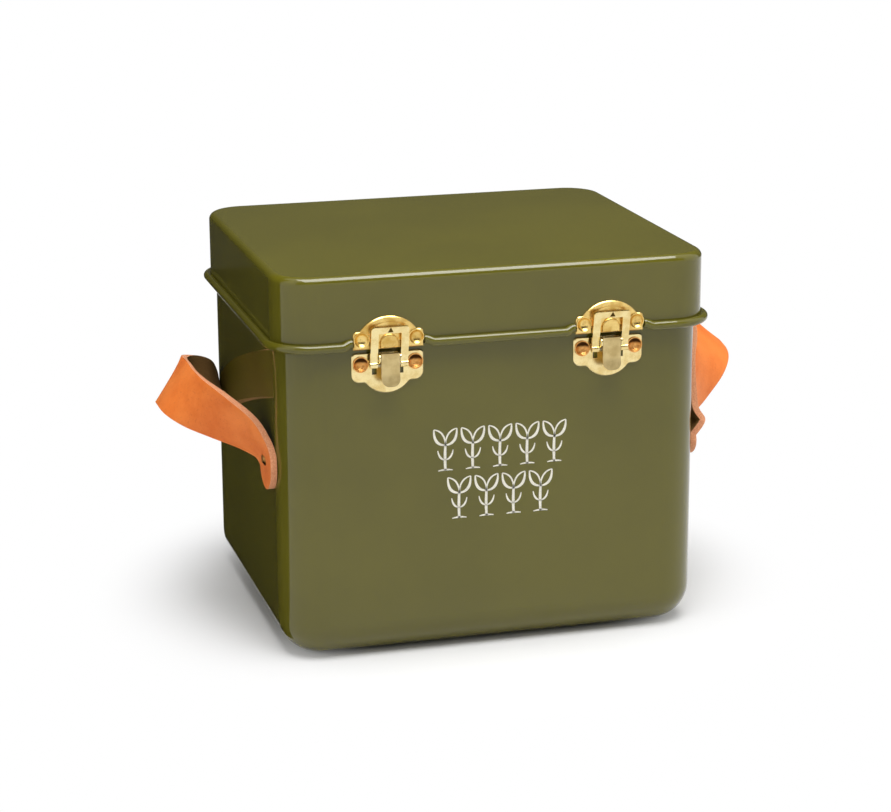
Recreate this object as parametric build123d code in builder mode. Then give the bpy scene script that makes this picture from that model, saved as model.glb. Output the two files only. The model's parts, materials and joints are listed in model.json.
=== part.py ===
"""Painted tin organizer box for seed packets.

A pressed tub and a hinged lid of painted tin plate, two brass toggle latches in front, two brass butt
hinges behind, a leather carrying handle on each end, and inside a folded partition with twelve tabbed
divider cards.  Millimetres, +Z up.  The origin is the centre of the underside, +X runs to the right of
someone facing the latches, and the latches are on the -Y side.
"""
import os
from math import asin, cos, radians, sin

from build123d import *

# ---------------------------------------------------------------- tub
tub_width = 200.0
tub_depth = 173.0
corner_radius = 20.0
foot_radius = 17.0  # the large round between the walls and the floor
tin = 0.8  # thickness of the painted plate
hem_depth = 7.0  # the rim is folded inwards and down by this much
hem_round = 0.35

# ---------------------------------------------------------------- lid
lid_rim = 146.7  # level of the lid's lower edge
lid_height = 33.8
tub_rise = 13.3  # the tub's rim stands this far above the lid's lower edge
lid_gap = 1.2  # between the tub's wall and the lid's skirt
lid_corner = 18.0  # tighter than the tub's corner, so the skirt stands clear of it there
lid_edge_radius = 3.4
bead_radius = 2.0  # the wired bead rolled round the lid's lower edge
bead_standoff = 1.5  # its centre line, outside the skirt
bead_nip_rise = 1.3  # beside each fitting the bead is nipped up by this much,
bead_nip_in = 1.2  # in by this much,
bead_nip_length = 3.0  # over this length,
bead_nip_flat = 1.2  # and then runs level to its end
bead_nip_bend = 3.0  # radius of the bends between them

# ---------------------------------------------------------------- latches
# The levels of latches and hinges are measured up from the lid's rim.
latch_inset = 48.0  # the middle of each latch, in from the tub's end wall
plate = 1.0  # thickness of the stamped brass
plate_bevel = 0.45  # round the front of its edges
base_width = 33.2
base_top = -1.7
base_ear_bottom = -15.4
base_corner = 3.8
base_shoulder = 4.4  # either side of the base's dome
base_dome_centre = -8.5
base_notch_radius = 2.4
base_dish_inset = 1.2  # the base's middle is dished slightly, this far inside its dome
base_dish_depth = 0.5
keeper_inset = 0.4  # the keeper is narrower than the base by this much on each side
keeper_bottom = 0.3
keeper_shoulder = 8.5
keeper_corner = 1.9
keeper_dome_centre = -1.1
groove_inset = 1.6  # a groove runs round the keeper's dome
groove_width = 1.0
groove_depth = 0.35
dome_inset = 2.8
dome_rise = 1.1
dome_floor = 4.0  # lower edge of the dome, clear of the arms of the link
dent_level = 9.0  # a small three-cornered dent above the catch
dent_radius = 1.5
dent_depth = 1.2
catch_radius = 4.2
catch_centre = 3.2
catch_bottom = 0.9
catch_height = 2.1
catch_round = 0.8
catch_dish_radius = 2.9
catch_dish_depth = 0.5
rivet_inset = 4.0  # rivets, in from the base's edges
base_rivet_level = -6.8
keeper_rivet_level = 4.9
side_play = 0.2  # between lever, ears and link
ear_thickness = 0.6
ear_radius = 2.1
ear_slot_width = 2.2  # left in the plate where the ears are lanced out
ear_slot_height = 6.0
lever_pivot_level = -3.8
lever_pivot_out = 4.4  # in front of the tub's wall
link_pivot_level = -7.1
link_pivot_out = 2.7
pivot_pin_radius = 0.75
pivot_play = 0.05
lever_width = 8.5
lever_plate = 0.8
lever_face_out = 6.3
lever_top = -1.4
lever_tip = -16.3
lever_tip_corner = 3.4
lever_lip_level = -10.7  # below this the lever flares out as a finger lip
lever_lip_out = 1.6
lever_lip_bend = 8.0
lever_cheek = 0.7  # thickness of the folded cheeks that carry the pins
lever_cheek_radius = 1.45
link_play = 0.3  # between the link and the heads of the base's rivets
link_window_top = 15.4  # along the link, from its pivot
link_bar_height = 3.0
link_bar_corner = 1.5
link_bar_out = 6.1  # in front of the tub's wall
link_eye_radius = 1.5

# ---------------------------------------------------------------- rivets of the brass fittings
rivet_head_radius = 3.6
rivet_head = 0.7
rivet_cup_radius = 3.2
rivet_cup_depth = 1.8
rivet_shank_radius = 2.85
rivet_play = 0.05
rivet_inner_head = 0.35  # clinched nearly flush, so the lid's rivets pass the tub's rim

# ---------------------------------------------------------------- hinges
hinge_inset = 48.0  # the middle of each hinge, in from the tub's end wall
hinge_width = 30.0
hinge_axis_level = -1.2
hinge_knuckle_radius = 2.2
hinge_pin_radius = 1.1
hinge_pin_play = 0.05
hinge_pin_overhang = 0.8
hinge_knuckle_play = 0.2  # end play between knuckles
hinge_leaf_relief = 0.6  # each leaf clears the other leaf's knuckles
hinge_leaf_corner = 3.0
hinge_lid_leaf_top = 17.3
hinge_tub_leaf_bottom = -19.7
hinge_crank_level = -5.7  # the tub's leaf is cranked out above this level
hinge_rivet_reach = 9.0
hinge_lid_rivet_level = 10.8
hinge_tub_rivet_level = -13.2
hinge_rivet_head_radius = 2.8
hinge_rivet_shank_radius = 1.5

# ---------------------------------------------------------------- leather handles
strap_width = 25.0
strap_thickness = 3.0
strap_anchor_inset = 29.0  # rivets, in from the tub's front and back walls
strap_anchor_level = 91.0
strap_splay = 17.0  # degrees by which the tails spread as they point down
strap_tail_below = 14.0  # along the strap, below the rivet
strap_tail_above = 5.5
strap_tail_corner = 7.0
strap_split = 1.0  # between the fixed tail and the part that flexes
strap_lift_off = 0.9  # the flexing part starts this far off the wall
# The two edges of the outer face in the middle of the handle, (out from the wall, level), the upper
# edge and then the lower edge.
strap_middle = ((27.6, 125.2), (43.0, 105.4))
# The same on the way to the fold above the front tail: (out from the wall, behind the rivet, level).
strap_sections = (
    ((27.7, 42.3, 124.7), (41.5, 43.6, 103.9)),
    ((25.6, 27.1, 122.8), (34.4, 32.1, 100.0)),
    ((18.7, 13.2, 118.1), (24.2, 24.0, 96.4)),
    ((8.7, 0.9, 109.9), (14.3, 18.2, 92.7)),
)
strap_rivet_head_radius = 3.4
strap_rivet_head = 1.2
strap_rivet_shank_radius = 1.8
strap_washer_radius = 5.5
strap_washer_thickness = 1.0

# ---------------------------------------------------------------- partition and divider cards
partition_height = 118.0
partition_gap = 0.6  # between the partition's ends and the tub's walls
partition_corner_gap = 1.3  # its lower corners are rounder than the tub by this much
partition_foot_width = 14.0
partition_foot_setback = 6.0
partition_hem = 5.0
card_thickness = 1.0
card_height = 136.0
card_side_gap = 4.0  # either side of a card
card_floor_gap = 0.3
card_corner = 12.0
card_pitch = 24.0
cards_per_side = 6
tab_width = 24.0
tab_height = 11.0
tab_corner = 3.0
tab_margin = 5.0
tab_places = 3  # the tabs are staggered across this many places

# ---------------------------------------------------------------- worked out from the above
inner_width = tub_width - 2 * tin
inner_depth = tub_depth - 2 * tin
lid_proud = lid_gap + tin
lid_top = lid_rim + lid_height
tub_height = lid_rim + tub_rise
lid_width = tub_width + 2 * lid_proud
lid_depth = tub_depth + 2 * lid_proud
bead_level = lid_rim + bead_radius
latch_reach = tub_width / 2 - latch_inset
hinge_reach = tub_width / 2 - hinge_inset
latch_centres = {"left": -latch_reach, "right": latch_reach}
hinge_centres = {"left": -hinge_reach, "right": hinge_reach}
base_dome_radius = base_width / 2 - base_shoulder
base_dish_radius = base_dome_radius - base_dish_inset
keeper_width = base_width - 2 * keeper_inset
keeper_dome_radius = keeper_width / 2
groove_radius = keeper_dome_radius - groove_inset
dome_radius = keeper_dome_radius - dome_inset
rivet_reach = base_width / 2 - rivet_inset
link_width = 2 * (rivet_reach - rivet_head_radius - link_play)
strap_anchor = tub_depth / 2 - strap_anchor_inset
ear_inner = lever_width / 2 + side_play
ear_outer = ear_inner + ear_thickness
link_window_width = 2 * (ear_outer + side_play)

# The front and back planes have their origins at the level of the lid's rim.
front = Plane(origin=(0, -tub_depth / 2, lid_rim), x_dir=(1, 0, 0), z_dir=(0, -1, 0))
lid_front = front.offset(lid_proud)
back = Plane(origin=(0, tub_depth / 2, lid_rim), x_dir=(-1, 0, 0), z_dir=(0, 1, 0))
lid_back = back.offset(lid_proud)
left_end = Plane(origin=(-tub_width / 2, 0, 0), x_dir=(0, -1, 0), z_dir=(-1, 0, 0))
right_end = Plane(origin=(tub_width / 2, 0, 0), x_dir=(0, 1, 0), z_dir=(1, 0, 0))

latch_rivet_columns = [x + s * rivet_reach for x in latch_centres.values() for s in (-1, 1)]
hinge_rivet_columns = [x + s * hinge_rivet_reach for x in hinge_centres.values() for s in (-1, 1)]
base_rivet_places = [(x, base_rivet_level) for x in latch_rivet_columns]
keeper_rivet_places = [(x, keeper_rivet_level) for x in latch_rivet_columns]
hinge_tub_rivet_places = [(x, hinge_tub_rivet_level) for x in hinge_rivet_columns]
hinge_lid_rivet_places = [(x, hinge_lid_rivet_level) for x in hinge_rivet_columns]
strap_rivet_places = [(s * strap_anchor, strap_anchor_level) for s in (-1, 1)]


def seat(plane, place, out=0.0):
    """The plane at a place on a wall, moved out from it, with the same directions."""
    return Plane(origin=plane.from_local_coords((*place, out)), x_dir=plane.x_dir, z_dir=plane.z_dir)


def slice_at(x):
    """The upright plane across the tub at x, seen from its +X side, with its origin at the lid's rim."""
    return Plane(origin=(x, 0, lid_rim), x_dir=(0, 1, 0), z_dir=(1, 0, 0))


def in_front(out):
    """The Y coordinate at a distance in front of the tub's front wall."""
    return -tub_depth / 2 - out


def behind(out):
    """The Y coordinate at a distance behind the tub's back wall."""
    return tub_depth / 2 + out


def ball_under(radius, rise):
    """The radius of the ball whose cap has this radius and this rise."""
    return (radius**2 + rise**2) / (2 * rise)


def dish(face, radius, depth):
    """Press a round hollow into a face, within the piece that is being built."""
    ball = ball_under(radius, depth)
    with Locations(face.offset(ball - depth)):
        Sphere(ball, mode=Mode.SUBTRACT)


def keep(piece, name):
    """Label a finished piece and write it as a file of its own."""
    piece.part.label = name
    export_step(piece.part, f"parts/{name}.step")


os.makedirs("parts", exist_ok=True)

# ================================================================ tub
# One pressing: straight walls, a large round to the floor, and a rim folded inwards.
with BuildPart() as tub_shell:
    with BuildSketch():
        RectangleRounded(tub_width, tub_depth, corner_radius)
    extrude(amount=tub_height)
    fillet(tub_shell.faces().sort_by(Axis.Z)[0].edges(), foot_radius)
    offset(amount=-tin, openings=tub_shell.faces().sort_by(Axis.Z)[-1])
    with BuildSketch(Plane.XY.offset(tub_height)):
        RectangleRounded(inner_width, inner_depth, corner_radius - tin)
        RectangleRounded(inner_width - 2 * tin, inner_depth - 2 * tin, corner_radius - 2 * tin,
                         mode=Mode.SUBTRACT)
    extrude(amount=-hem_depth)
    fillet(tub_shell.faces().sort_by(Axis.Z)[-1].edges(), hem_round)
    for wall, places, radius in (
        (front, base_rivet_places, rivet_shank_radius),
        (back, hinge_tub_rivet_places, hinge_rivet_shank_radius),
        (left_end, strap_rivet_places, strap_rivet_shank_radius),
        (right_end, strap_rivet_places, strap_rivet_shank_radius),
    ):
        with BuildSketch(wall):
            with Locations(*places):
                Circle(radius + rivet_play)
        extrude(amount=-2 * tin, mode=Mode.SUBTRACT)
keep(tub_shell, "tub_shell")

# ================================================================ lid
# The lid's bead runs between the fittings.  Beside each fitting it is nipped up and in, where the skirt
# is pressed flat to seat the brass.  The right half is drawn and mirrored.
bead_centre_x = lid_width / 2 + bead_standoff
bead_centre_y = lid_depth / 2 + bead_standoff
bead_corner = lid_corner + bead_standoff


def nip(fitting_edge, side, direction):
    """Points of the bead's centre line from a fitting's edge to the normal line, along direction.

    side is -1 at the front and 1 at the back.
    """
    y = side * bead_centre_y
    nipped_y = y - side * bead_nip_in
    nipped_level = bead_level + bead_nip_rise
    return [
        (fitting_edge, nipped_y, nipped_level),
        (fitting_edge + direction * bead_nip_flat, nipped_y, nipped_level),
        (fitting_edge + direction * (bead_nip_flat + bead_nip_length), y, bead_level),
    ]


latch_edges = [latch_reach + s * base_width / 2 for s in (-1, 1)]
hinge_edges = [hinge_reach + s * base_width / 2 for s in (-1, 1)]
end_corners = [(bead_centre_x, side * bead_centre_y, bead_level) for side in (-1, 1)]
nip_bends = [bead_nip_bend] * 2
end_run = nip(latch_edges[1], -1, 1) + end_corners + nip(hinge_edges[1], 1, 1)[::-1]
end_bends = nip_bends + [bead_corner] * 2 + nip_bends
front_run = nip(latch_edges[0], -1, -1) + [(0, -bead_centre_y, bead_level)]
back_run = nip(hinge_edges[0], 1, -1) + [(0, bead_centre_y, bead_level)]

with BuildPart() as half_bead:
    for points, bends in ((end_run, end_bends), (front_run, nip_bends), (back_run, nip_bends)):
        with BuildLine() as run:
            FilletPolyline(*points, radius=bends)
        with BuildSketch(Plane(origin=run.line @ 0, z_dir=run.line % 0)):
            Circle(bead_radius)
        sweep()

with BuildPart() as lid_cavity:
    with BuildSketch(Plane.XY.offset(lid_top - tin)):
        RectangleRounded(lid_width - 2 * tin, lid_depth - 2 * tin, lid_corner - tin)
    extrude(amount=lid_rim - bead_radius - lid_top)
    fillet(lid_cavity.faces().sort_by(Axis.Z)[-1].edges(), lid_edge_radius - tin)

with BuildPart() as lid_shell:
    with BuildSketch(Plane.XY.offset(lid_rim)):
        RectangleRounded(lid_width, lid_depth, lid_corner)
    extrude(amount=lid_top - lid_rim)
    fillet(lid_shell.faces().sort_by(Axis.Z)[-1].edges(), lid_edge_radius)
    add(half_bead.part)
    mirror(half_bead.part, about=Plane.YZ)
    add(lid_cavity.part, mode=Mode.SUBTRACT)
    for wall, places, radius in (
        (lid_front, keeper_rivet_places, rivet_shank_radius),
        (lid_back, hinge_lid_rivet_places, hinge_rivet_shank_radius),
    ):
        with BuildSketch(wall):
            with Locations(*places):
                Circle(radius + rivet_play)
        extrude(amount=-2 * tin, mode=Mode.SUBTRACT)
keep(lid_shell, "lid_shell")

# ================================================================ rivets
# The latches are held by cupped rivets: a rolled head with a round hollow, a shank through plate and
# wall, and a flat head inside the tin.  They are drawn round +Z with the plate's face at Z = 0.
grip = plate + tin
with BuildPart() as cup_rivet:
    for radius, top, bottom in (
        (rivet_head_radius, rivet_head, 0),
        (rivet_shank_radius, 0, -grip),
        (rivet_head_radius, -grip, -grip - rivet_inner_head),
    ):
        with Locations((0, 0, bottom)):
            Cylinder(radius, top - bottom, align=(Align.CENTER, Align.CENTER, Align.MIN))
    dish(Plane.XY.offset(rivet_head), rivet_cup_radius, rivet_cup_depth)


def solid_rivet(head_radius, head_height, shank_radius, grip_length):
    """A plain rivet with a low conical head outside and a flat one inside."""
    with BuildPart() as rivet:
        with BuildSketch(Plane.XZ):
            with BuildLine():
                Polyline(
                    (0, head_height),
                    (head_radius / 2, head_height),
                    (head_radius, 0),
                    (shank_radius, 0),
                    (shank_radius, -grip_length),
                    (head_radius, -grip_length),
                    (head_radius, -grip_length - rivet_inner_head),
                    (0, -grip_length - rivet_inner_head),
                    close=True,
                )
            make_face()
        revolve(axis=Axis.Z)
    return rivet


def rivet_group(rivet, seats):
    """The same rivet at each seat, as separate solids."""
    with BuildPart() as group:
        with Locations(*seats):
            add(rivet.part)
    return group


hinge_rivet = solid_rivet(hinge_rivet_head_radius, rivet_head, hinge_rivet_shank_radius, grip)
keep(rivet_group(cup_rivet, [seat(front, p, plate) for p in base_rivet_places]), "latch_base_rivets")
keep(rivet_group(cup_rivet, [seat(lid_front, p, plate) for p in keeper_rivet_places]), "latch_keeper_rivets")
keep(rivet_group(hinge_rivet, [seat(back, p, plate) for p in hinge_tub_rivet_places]), "hinge_tub_rivets")
keep(rivet_group(hinge_rivet, [seat(lid_back, p, plate) for p in hinge_lid_rivet_places]), "hinge_lid_rivets")

# ================================================================ latches
# The link leans out from its pivot near the plate to the catch on the keeper.
link_reach = link_window_top + link_bar_height / 2
link_lean = asin((link_bar_out - link_pivot_out) / link_reach)
lever_pivot = (in_front(lever_pivot_out), lever_pivot_level)
link_pivot = (in_front(link_pivot_out), link_pivot_level)


def latch_base(x):
    """The plate on the tub, with two ears lanced out of it for the lever's pin."""
    ear_height = base_top - base_ear_bottom
    with BuildPart() as base:
        with BuildSketch(seat(front, (x, 0))) as outline:
            with Locations((0, base_top - ear_height / 2)):
                Rectangle(base_width, ear_height)
            fillet(outline.vertices().group_by(Axis.Y)[0], base_corner)
            fillet(outline.vertices().group_by(Axis.Y)[-1], keeper_corner)
            with Locations((0, base_dome_centre)):
                Circle(base_dome_radius)
            with Locations((0, base_top)):
                Rectangle(base_width, base_width, align=(Align.CENTER, Align.MIN), mode=Mode.SUBTRACT)
            notches = outline.vertices().filter_by(
                lambda v: abs(v.Y - base_ear_bottom) < tin and abs(v.X) < base_dome_radius)
            fillet(notches, base_notch_radius)
            with Locations(*[(s * rivet_reach, base_rivet_level) for s in (-1, 1)]):
                Circle(rivet_shank_radius + rivet_play, mode=Mode.SUBTRACT)
            slot_x = ear_outer + ear_slot_width / 2
            slot_level = lever_pivot_level - ear_radius - ear_slot_height / 2
            with Locations(*[(s * slot_x, slot_level) for s in (-1, 1)]):
                Rectangle(ear_slot_width, ear_slot_height, mode=Mode.SUBTRACT)
        extrude(amount=plate)
        chamfer(base.faces().sort_by(Axis.Y)[0].outer_wire().edges(), plate_bevel)
        dish(seat(front, (x, base_dome_centre), plate), base_dish_radius, base_dish_depth)
        for start in (x + ear_inner, x - ear_outer):
            with BuildSketch(slice_at(start)):
                with Locations(lever_pivot):
                    Circle(ear_radius)
                root = (lever_pivot_out - plate / 2) / 2
                with Locations((in_front(lever_pivot_out - root), lever_pivot_level)):
                    Rectangle(2 * root, 2 * ear_radius)
                with Locations(lever_pivot):
                    Circle(pivot_pin_radius, mode=Mode.SUBTRACT)
            extrude(amount=ear_thickness)
    return base


def latch_keeper(x):
    """The domed plate on the lid, with a grooved border, a dent and the pressed catch for the link."""
    face = seat(lid_front, (x, 0), plate)
    inner_reach = rivet_reach - rivet_head_radius
    ball = ball_under(dome_radius, dome_rise)
    with BuildPart() as dome:
        with Locations(face.offset(dome_rise - ball)):
            with Locations((0, keeper_dome_centre)):
                Sphere(ball)
        with BuildSketch(face):
            with Locations((0, dome_floor)):
                Rectangle(2 * inner_reach, keeper_dome_radius, align=(Align.CENTER, Align.MIN))
        extrude(amount=dome_rise, mode=Mode.INTERSECT)
    with BuildPart() as keeper:
        with BuildSketch(seat(lid_front, (x, 0))) as outline:
            with Locations((0, keeper_dome_centre)):
                Circle(keeper_dome_radius)
            with Locations((0, keeper_bottom)):
                Rectangle(2 * base_width, 2 * base_width, align=(Align.CENTER, Align.MAX), mode=Mode.SUBTRACT)
                Rectangle(keeper_width, keeper_shoulder - keeper_bottom, align=(Align.CENTER, Align.MIN))
            shoulders = outline.vertices().filter_by(
                lambda v: abs(v.Y - keeper_shoulder) < tin and abs(abs(v.X) - keeper_width / 2) < tin)
            fillet(shoulders, keeper_corner)
            with Locations(*[(s * rivet_reach, keeper_rivet_level) for s in (-1, 1)]):
                Circle(rivet_shank_radius + rivet_play, mode=Mode.SUBTRACT)
        extrude(amount=plate)
        chamfer(keeper.faces().sort_by(Axis.Y)[0].outer_wire().edges(), plate_bevel)
        with BuildSketch(face):
            with Locations((0, keeper_dome_centre)):
                Circle(groove_radius)
                Circle(groove_radius - groove_width, mode=Mode.SUBTRACT)
            with Locations((0, dome_floor)):
                Rectangle(2 * inner_reach, keeper_dome_radius, align=(Align.CENTER, Align.MIN),
                          mode=Mode.INTERSECT)
        extrude(amount=-groove_depth, mode=Mode.SUBTRACT)
        add(dome.part)
        with BuildSketch(face.offset(dome_rise)):
            with Locations((0, dent_level)):
                RegularPolygon(dent_radius, 3, rotation=90)
        extrude(amount=-dent_depth, mode=Mode.SUBTRACT)
    with BuildPart() as catch:
        with BuildSketch(face):
            with Locations((0, catch_centre)):
                Circle(catch_radius)
            with Locations((0, catch_bottom)):
                Rectangle(2 * catch_radius, catch_centre - catch_bottom, align=(Align.CENTER, Align.MIN))
                Rectangle(2 * base_width, 2 * base_width, align=(Align.CENTER, Align.MAX), mode=Mode.SUBTRACT)
        extrude(amount=catch_height)
        fillet(catch.faces().sort_by(Axis.Y)[0].edges(), catch_round)
        dish(seat(face, (0, catch_centre), catch_height), catch_dish_radius, catch_dish_depth)
    with BuildPart() as whole:
        add(keeper.part)
        add(catch.part)
    return whole


def latch_lever(x):
    """The finger lever: a face with a flared lip, and two cheeks folded back to carry both pins."""
    with BuildPart() as lever:
        with BuildSketch(slice_at(x)):
            with BuildLine():
                face = FilletPolyline(
                    (in_front(lever_face_out), lever_top),
                    (in_front(lever_face_out), lever_lip_level),
                    (in_front(lever_face_out + lever_lip_out), lever_tip),
                    radius=lever_lip_bend,
                )
                rear = FilletPolyline(
                    (in_front(lever_face_out - lever_plate), lever_top),
                    (in_front(lever_face_out - lever_plate), lever_lip_level),
                    (in_front(lever_face_out + lever_lip_out - lever_plate), lever_tip),
                    radius=lever_lip_bend + lever_plate,
                )
                Line(face @ 0, rear @ 0)
                Line(face @ 1, rear @ 1)
            make_face()
        extrude(amount=lever_width / 2, both=True)
        with BuildSketch(seat(front, (x, 0))) as outline:
            with Locations((0, lever_tip)):
                Rectangle(lever_width, lever_top - lever_tip, align=(Align.CENTER, Align.MIN))
            fillet(outline.vertices().group_by(Axis.Y)[0], lever_tip_corner)
        extrude(amount=2 * lever_face_out, mode=Mode.INTERSECT)
        for start in (x + lever_width / 2 - lever_cheek, x - lever_width / 2):
            with BuildSketch(slice_at(start)):
                with Locations(lever_pivot, link_pivot):
                    Circle(lever_cheek_radius)
                cheek_y = in_front(lever_face_out - lever_plate / 2)
                with Locations((cheek_y, lever_pivot_level), (cheek_y, link_pivot_level)):
                    Circle(lever_plate / 4)
                make_hull()
                with Locations(lever_pivot):
                    Circle(pivot_pin_radius + pivot_play, mode=Mode.SUBTRACT)
                with Locations(link_pivot):
                    Circle(pivot_pin_radius, mode=Mode.SUBTRACT)
            extrude(amount=lever_cheek)
    return lever


def latch_link(x):
    """The link: two arms joined by a bar above, with eyes rolled round the lever's second pin."""
    along = Plane(
        origin=slice_at(x).from_local_coords(link_pivot),
        x_dir=(1, 0, 0),
        z_dir=(0, -cos(link_lean), -sin(link_lean)),
    )
    arm_width = (link_width - link_window_width) / 2
    with BuildPart() as link:
        with BuildSketch(along) as outline:
            Rectangle(link_width, link_window_top + link_bar_height, align=(Align.CENTER, Align.MIN))
            fillet(outline.vertices().group_by(Axis.Y)[-1], link_bar_corner)
            Rectangle(link_window_width, link_window_top, align=(Align.CENTER, Align.MIN), mode=Mode.SUBTRACT)
        extrude(amount=plate / 2, both=True)
        for start in (x + link_window_width / 2, x - link_width / 2):
            with BuildSketch(slice_at(start)):
                with Locations(link_pivot):
                    Circle(link_eye_radius)
            extrude(amount=arm_width)
        with BuildSketch(slice_at(x)):
            with Locations(link_pivot):
                Circle(pivot_pin_radius + pivot_play)
        extrude(amount=link_width, both=True, mode=Mode.SUBTRACT)
    return link


def cross_pin(x, pivot, radius, length):
    """A plain pin along X."""
    with BuildPart() as pin:
        with BuildSketch(slice_at(x)):
            with Locations(pivot):
                Circle(radius)
        extrude(amount=length / 2, both=True)
    return pin


for side, x in latch_centres.items():
    keep(latch_base(x), f"latch_base_{side}")
    keep(latch_keeper(x), f"latch_keeper_{side}")
    keep(latch_lever(x), f"latch_lever_{side}")
    keep(latch_link(x), f"latch_link_{side}")
    keep(cross_pin(x, lever_pivot, pivot_pin_radius, 2 * ear_outer), f"latch_lever_pin_{side}")
    keep(cross_pin(x, link_pivot, pivot_pin_radius, link_width), f"latch_link_pin_{side}")

# ================================================================ hinges
# The axis lies below the lid's bead and clear of both walls, so the lid can swing up and back.
hinge_axis_out = lid_proud + hinge_knuckle_radius
hinge_axis = (behind(hinge_axis_out), hinge_axis_level)
half_knuckle = hinge_width / 6
knuckle_end = hinge_knuckle_play / 2

# The lid's leaf is straight and runs down into the middle knuckle.
lid_leaf_section = (
    (behind(lid_proud), hinge_axis_level),
    (behind(lid_proud), hinge_lid_leaf_top),
    (behind(lid_proud + plate), hinge_lid_leaf_top),
    (behind(lid_proud + plate), hinge_axis_level),
)
# The tub's leaf is flat on the wall, then cranked out to the two outer knuckles.
tub_leaf_section = (
    (behind(0), hinge_tub_leaf_bottom),
    (behind(0), hinge_crank_level),
    (behind(lid_proud), hinge_axis_level),
    (behind(lid_proud + plate), hinge_axis_level - plate),
    (behind(plate), hinge_crank_level - plate),
    (behind(plate), hinge_tub_leaf_bottom),
)
middle_knuckle = ((-half_knuckle + knuckle_end, half_knuckle - knuckle_end),)
outer_knuckles = (
    (-hinge_width / 2, -half_knuckle - knuckle_end),
    (half_knuckle + knuckle_end, hinge_width / 2),
)


def hinge_leaf(x, section, knuckles, pin_radius, wall, rivet_level, free_end):
    """A leaf of the given section, relieved between its knuckles, with two rivet holes."""
    with BuildPart() as leaf:
        with BuildSketch(slice_at(x)):
            Polygon(*section, align=None)
            with Locations(hinge_axis):
                Circle(hinge_knuckle_radius + hinge_leaf_relief, mode=Mode.SUBTRACT)
        extrude(amount=hinge_width / 2, both=True)
        end_level = lid_rim + free_end
        corners = leaf.edges().filter_by(Axis.Y).filter_by(lambda e: abs(e.center().Z - end_level) < tin)
        fillet(corners, hinge_leaf_corner)
        for low, high in knuckles:
            with BuildSketch(slice_at(x + low)):
                Polygon(*section, align=None)
                with Locations(hinge_axis):
                    Rectangle(hinge_width, hinge_width / 2, mode=Mode.INTERSECT)
                    Circle(hinge_knuckle_radius)
            extrude(amount=high - low)
        with BuildSketch(slice_at(x)):
            with Locations(hinge_axis):
                Circle(pin_radius)
        extrude(amount=hinge_width, both=True, mode=Mode.SUBTRACT)
        with BuildSketch(wall):
            with Locations(*[(-x + s * hinge_rivet_reach, rivet_level) for s in (-1, 1)]):
                Circle(hinge_rivet_shank_radius + rivet_play)
        extrude(amount=2 * plate, mode=Mode.SUBTRACT)
    return leaf


pin_length = hinge_width + 2 * hinge_pin_overhang
for side, x in hinge_centres.items():
    lid_leaf = hinge_leaf(x, lid_leaf_section, middle_knuckle, hinge_pin_radius + hinge_pin_play,
                          lid_back, hinge_lid_rivet_level, hinge_lid_leaf_top)
    tub_leaf = hinge_leaf(x, tub_leaf_section, outer_knuckles, hinge_pin_radius,
                          back, hinge_tub_rivet_level, hinge_tub_leaf_bottom)
    keep(lid_leaf, f"hinge_lid_leaf_{side}")
    keep(tub_leaf, f"hinge_tub_leaf_{side}")
    keep(cross_pin(x, hinge_axis, hinge_pin_radius, pin_length), f"hinge_pin_{side}")

# ================================================================ leather handles
# Each handle is one strap.  Its two tails lie flat on the end wall, and the rest of it rises, turns
# and bows out from the wall.  The tails and the part that flexes are separate pieces, with a small
# cut between them where the leather bends.
splay = radians(strap_splay)


def folded_section():
    """The two edges of the strap's outer face where it leaves the front tail, just off the wall."""
    along = strap_tail_above + strap_split
    centre_forward = strap_anchor - along * sin(splay)
    centre_level = strap_anchor_level + along * cos(splay)
    out = strap_lift_off + strap_thickness
    half = strap_width / 2
    return tuple(
        (out, centre_forward + s * half * cos(splay), centre_level + s * half * sin(splay)) for s in (1, -1)
    )


def strap_edge(out, forward, level):
    """A point of the left strap's outer face."""
    return Vector(-tub_width / 2 - out, -forward, level)


middle_edges = [strap_edge(out, 0, level) for out, level in strap_middle]
front_edges = [[strap_edge(out, strap_anchor - behind_rivet, level) for out, behind_rivet, level in section]
               for section in strap_sections]
front_edges.append([strap_edge(*edge) for edge in folded_section()])
rear_edges = [[Vector(edge.X, -edge.Y, edge.Z) for edge in section] for section in front_edges[::-1]]
strap_run = [*rear_edges, middle_edges, *front_edges]
strap_centres = [(upper + lower) / 2 for upper, lower in strap_run]

with BuildPart() as strap_loop_left:
    for index, (upper, lower) in enumerate(strap_run):
        before = strap_centres[max(index - 1, 0)]
        after = strap_centres[min(index + 1, len(strap_centres) - 1)]
        across = (lower - upper).normalized()
        travel = after - before
        travel = travel - across * travel.dot(across)
        with BuildSketch(Plane(origin=strap_centres[index], x_dir=across, z_dir=travel)):
            Rectangle(strap_width, strap_thickness, align=(Align.CENTER, Align.MIN))
    loft()
with BuildPart() as strap_loop_right:
    mirror(strap_loop_left.part, about=Plane.YZ)
keep(strap_loop_left, "strap_loop_left")
keep(strap_loop_right, "strap_loop_right")

strap_grip = strap_thickness + tin + strap_washer_thickness
strap_rivet = solid_rivet(strap_rivet_head_radius, strap_rivet_head, strap_rivet_shank_radius, strap_grip)
strap_hole = strap_rivet_shank_radius + rivet_play

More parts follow.
